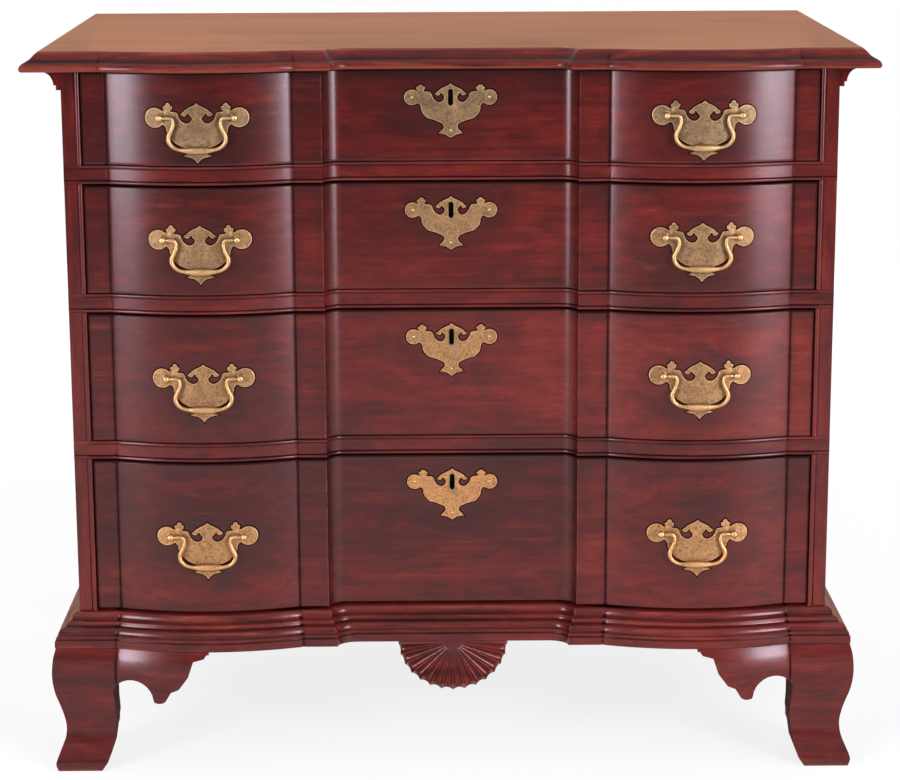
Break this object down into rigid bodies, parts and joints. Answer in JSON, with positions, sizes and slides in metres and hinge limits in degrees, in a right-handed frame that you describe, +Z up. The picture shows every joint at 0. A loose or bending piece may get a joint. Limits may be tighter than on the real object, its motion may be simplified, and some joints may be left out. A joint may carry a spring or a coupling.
{
  "type": "block front chest of drawers",
  "caption": "Chest of drawers with a blocked front: a recessed middle between raised sides, on ogee bracket feet with a carved shell pendant.",
  "frame": {"origin": "on the floor, under the middle of the chest's overall box", "axes": "+Z up, front faces -Y, +X to the right of someone facing the front"},
  "size_m": [0.928, 0.5467, 0.8149],
  "materials": {
    "mahogany": "old polished finish, dark in the hollows",
    "secondary_wood": "bare, aged white pine",
    "brass": "aged brass, worn bright on the edges",
    "lock_iron": "dark wrought iron"
  },
  "bodies": {
    "case": {"back_boards": "secondary_wood", "base_moulding_front": "mahogany", "base_moulding_left": "mahogany", "base_moulding_right": "mahogany", "bottom_board": "secondary_wood", "drawer_rail_1": "mahogany", "drawer_rail_2": "mahogany", "drawer_rail_3": "mahogany", "drawer_runners": "secondary_wood", "foot_front_left": "mahogany", "foot_front_right": "mahogany", "foot_glue_blocks": "secondary_wood", "foot_rear_left": "mahogany", "foot_rear_right": "mahogany", "pendant_shell": "mahogany", "side_coves": "mahogany", "side_left": "mahogany", "side_right": "mahogany", "top_battens": "secondary_wood", "top_board": "mahogany"},
    "drawer_1": {"drawer_1_backplates": "brass", "drawer_1_bail_posts": "brass", "drawer_1_bottom": "secondary_wood", "drawer_1_box": "secondary_wood", "drawer_1_escutcheon": "brass", "drawer_1_front": "mahogany", "drawer_1_lock_case": "lock_iron"},
    "lock_bolt_1": {"drawer_1_lock_bolt": "lock_iron"},
    "bail_1_left": {"bail_1_left": "brass"},
    "bail_1_right": {"bail_1_right": "brass"},
    "drawer_2": {"drawer_2_backplates": "brass", "drawer_2_bail_posts": "brass", "drawer_2_bottom": "secondary_wood", "drawer_2_box": "secondary_wood", "drawer_2_escutcheon": "brass", "drawer_2_front": "mahogany", "drawer_2_lock_case": "lock_iron"},
    "lock_bolt_2": {"drawer_2_lock_bolt": "lock_iron"},
    "bail_2_left": {"bail_2_left": "brass"},
    "bail_2_right": {"bail_2_right": "brass"},
    "drawer_3": {"drawer_3_backplates": "brass", "drawer_3_bail_posts": "brass", "drawer_3_bottom": "secondary_wood", "drawer_3_box": "secondary_wood", "drawer_3_escutcheon": "brass", "drawer_3_front": "mahogany", "drawer_3_lock_case": "lock_iron"},
    "lock_bolt_3": {"drawer_3_lock_bolt": "lock_iron"},
    "bail_3_left": {"bail_3_left": "brass"},
    "bail_3_right": {"bail_3_right": "brass"},
    "drawer_4": {"drawer_4_backplates": "brass", "drawer_4_bail_posts": "brass", "drawer_4_bottom": "secondary_wood", "drawer_4_box": "secondary_wood", "drawer_4_escutcheon": "brass", "drawer_4_front": "mahogany", "drawer_4_lock_case": "lock_iron"},
    "lock_bolt_4": {"drawer_4_lock_bolt": "lock_iron"},
    "bail_4_left": {"bail_4_left": "brass"},
    "bail_4_right": {"bail_4_right": "brass"}
  },
  "joints": [
    {"name": "drawer_1_slide", "type": "slide", "parent": "case", "child": "drawer_1", "axis": [0, -1, 0], "range_m": [0, 0.32]},
    {"name": "lock_bolt_1_slide", "type": "slide", "parent": "drawer_1", "child": "lock_bolt_1", "axis": [0, 0, 1], "range_m": [0, 0.009]},
    {"name": "bail_1_left_hinge", "type": "hinge", "parent": "drawer_1", "child": "bail_1_left", "pos_m": [-0.2745, -0.2511, 0.7439], "axis": [-1, 0, 0], "range_deg": [0, 180]},
    {"name": "bail_1_right_hinge", "type": "hinge", "parent": "drawer_1", "child": "bail_1_right", "pos_m": [0.2745, -0.2511, 0.7439], "axis": [-1, 0, 0], "range_deg": [0, 180]},
    {"name": "drawer_2_slide", "type": "slide", "parent": "case", "child": "drawer_2", "axis": [0, -1, 0], "range_m": [0, 0.32]},
    {"name": "lock_bolt_2_slide", "type": "slide", "parent": "drawer_2", "child": "lock_bolt_2", "axis": [0, 0, 1], "range_m": [0, 0.009]},
    {"name": "bail_2_left_hinge", "type": "hinge", "parent": "drawer_2", "child": "bail_2_left", "pos_m": [-0.2745, -0.2511, 0.61045], "axis": [-1, 0, 0], "range_deg": [0, 180]},
    {"name": "bail_2_right_hinge", "type": "hinge", "parent": "drawer_2", "child": "bail_2_right", "pos_m": [0.2745, -0.2511, 0.61045], "axis": [-1, 0, 0], "range_deg": [0, 180]},
    {"name": "drawer_3_slide", "type": "slide", "parent": "case", "child": "drawer_3", "axis": [0, -1, 0], "range_m": [0, 0.32]},
    {"name": "lock_bolt_3_slide", "type": "slide", "parent": "drawer_3", "child": "lock_bolt_3", "axis": [0, 0, 1], "range_m": [0, 0.009]},
    {"name": "bail_3_left_hinge", "type": "hinge", "parent": "drawer_3", "child": "bail_3_left", "pos_m": [-0.2745, -0.2511, 0.4556], "axis": [-1, 0, 0], "range_deg": [0, 180]},
    {"name": "bail_3_right_hinge", "type": "hinge", "parent": "drawer_3", "child": "bail_3_right", "pos_m": [0.2745, -0.2511, 0.4556], "axis": [-1, 0, 0], "range_deg": [0, 180]},
    {"name": "drawer_4_slide", "type": "slide", "parent": "case", "child": "drawer_4", "axis": [0, -1, 0], "range_m": [0, 0.32]},
    {"name": "lock_bolt_4_slide", "type": "slide", "parent": "drawer_4", "child": "lock_bolt_4", "axis": [0, 0, 1], "range_m": [0, 0.009]},
    {"name": "bail_4_left_hinge", "type": "hinge", "parent": "drawer_4", "child": "bail_4_left", "pos_m": [-0.2745, -0.2511, 0.27425], "axis": [-1, 0, 0], "range_deg": [0, 180]},
    {"name": "bail_4_right_hinge", "type": "hinge", "parent": "drawer_4", "child": "bail_4_right", "pos_m": [0.2745, -0.2511, 0.27425], "axis": [-1, 0, 0], "range_deg": [0, 180]}
  ]
}
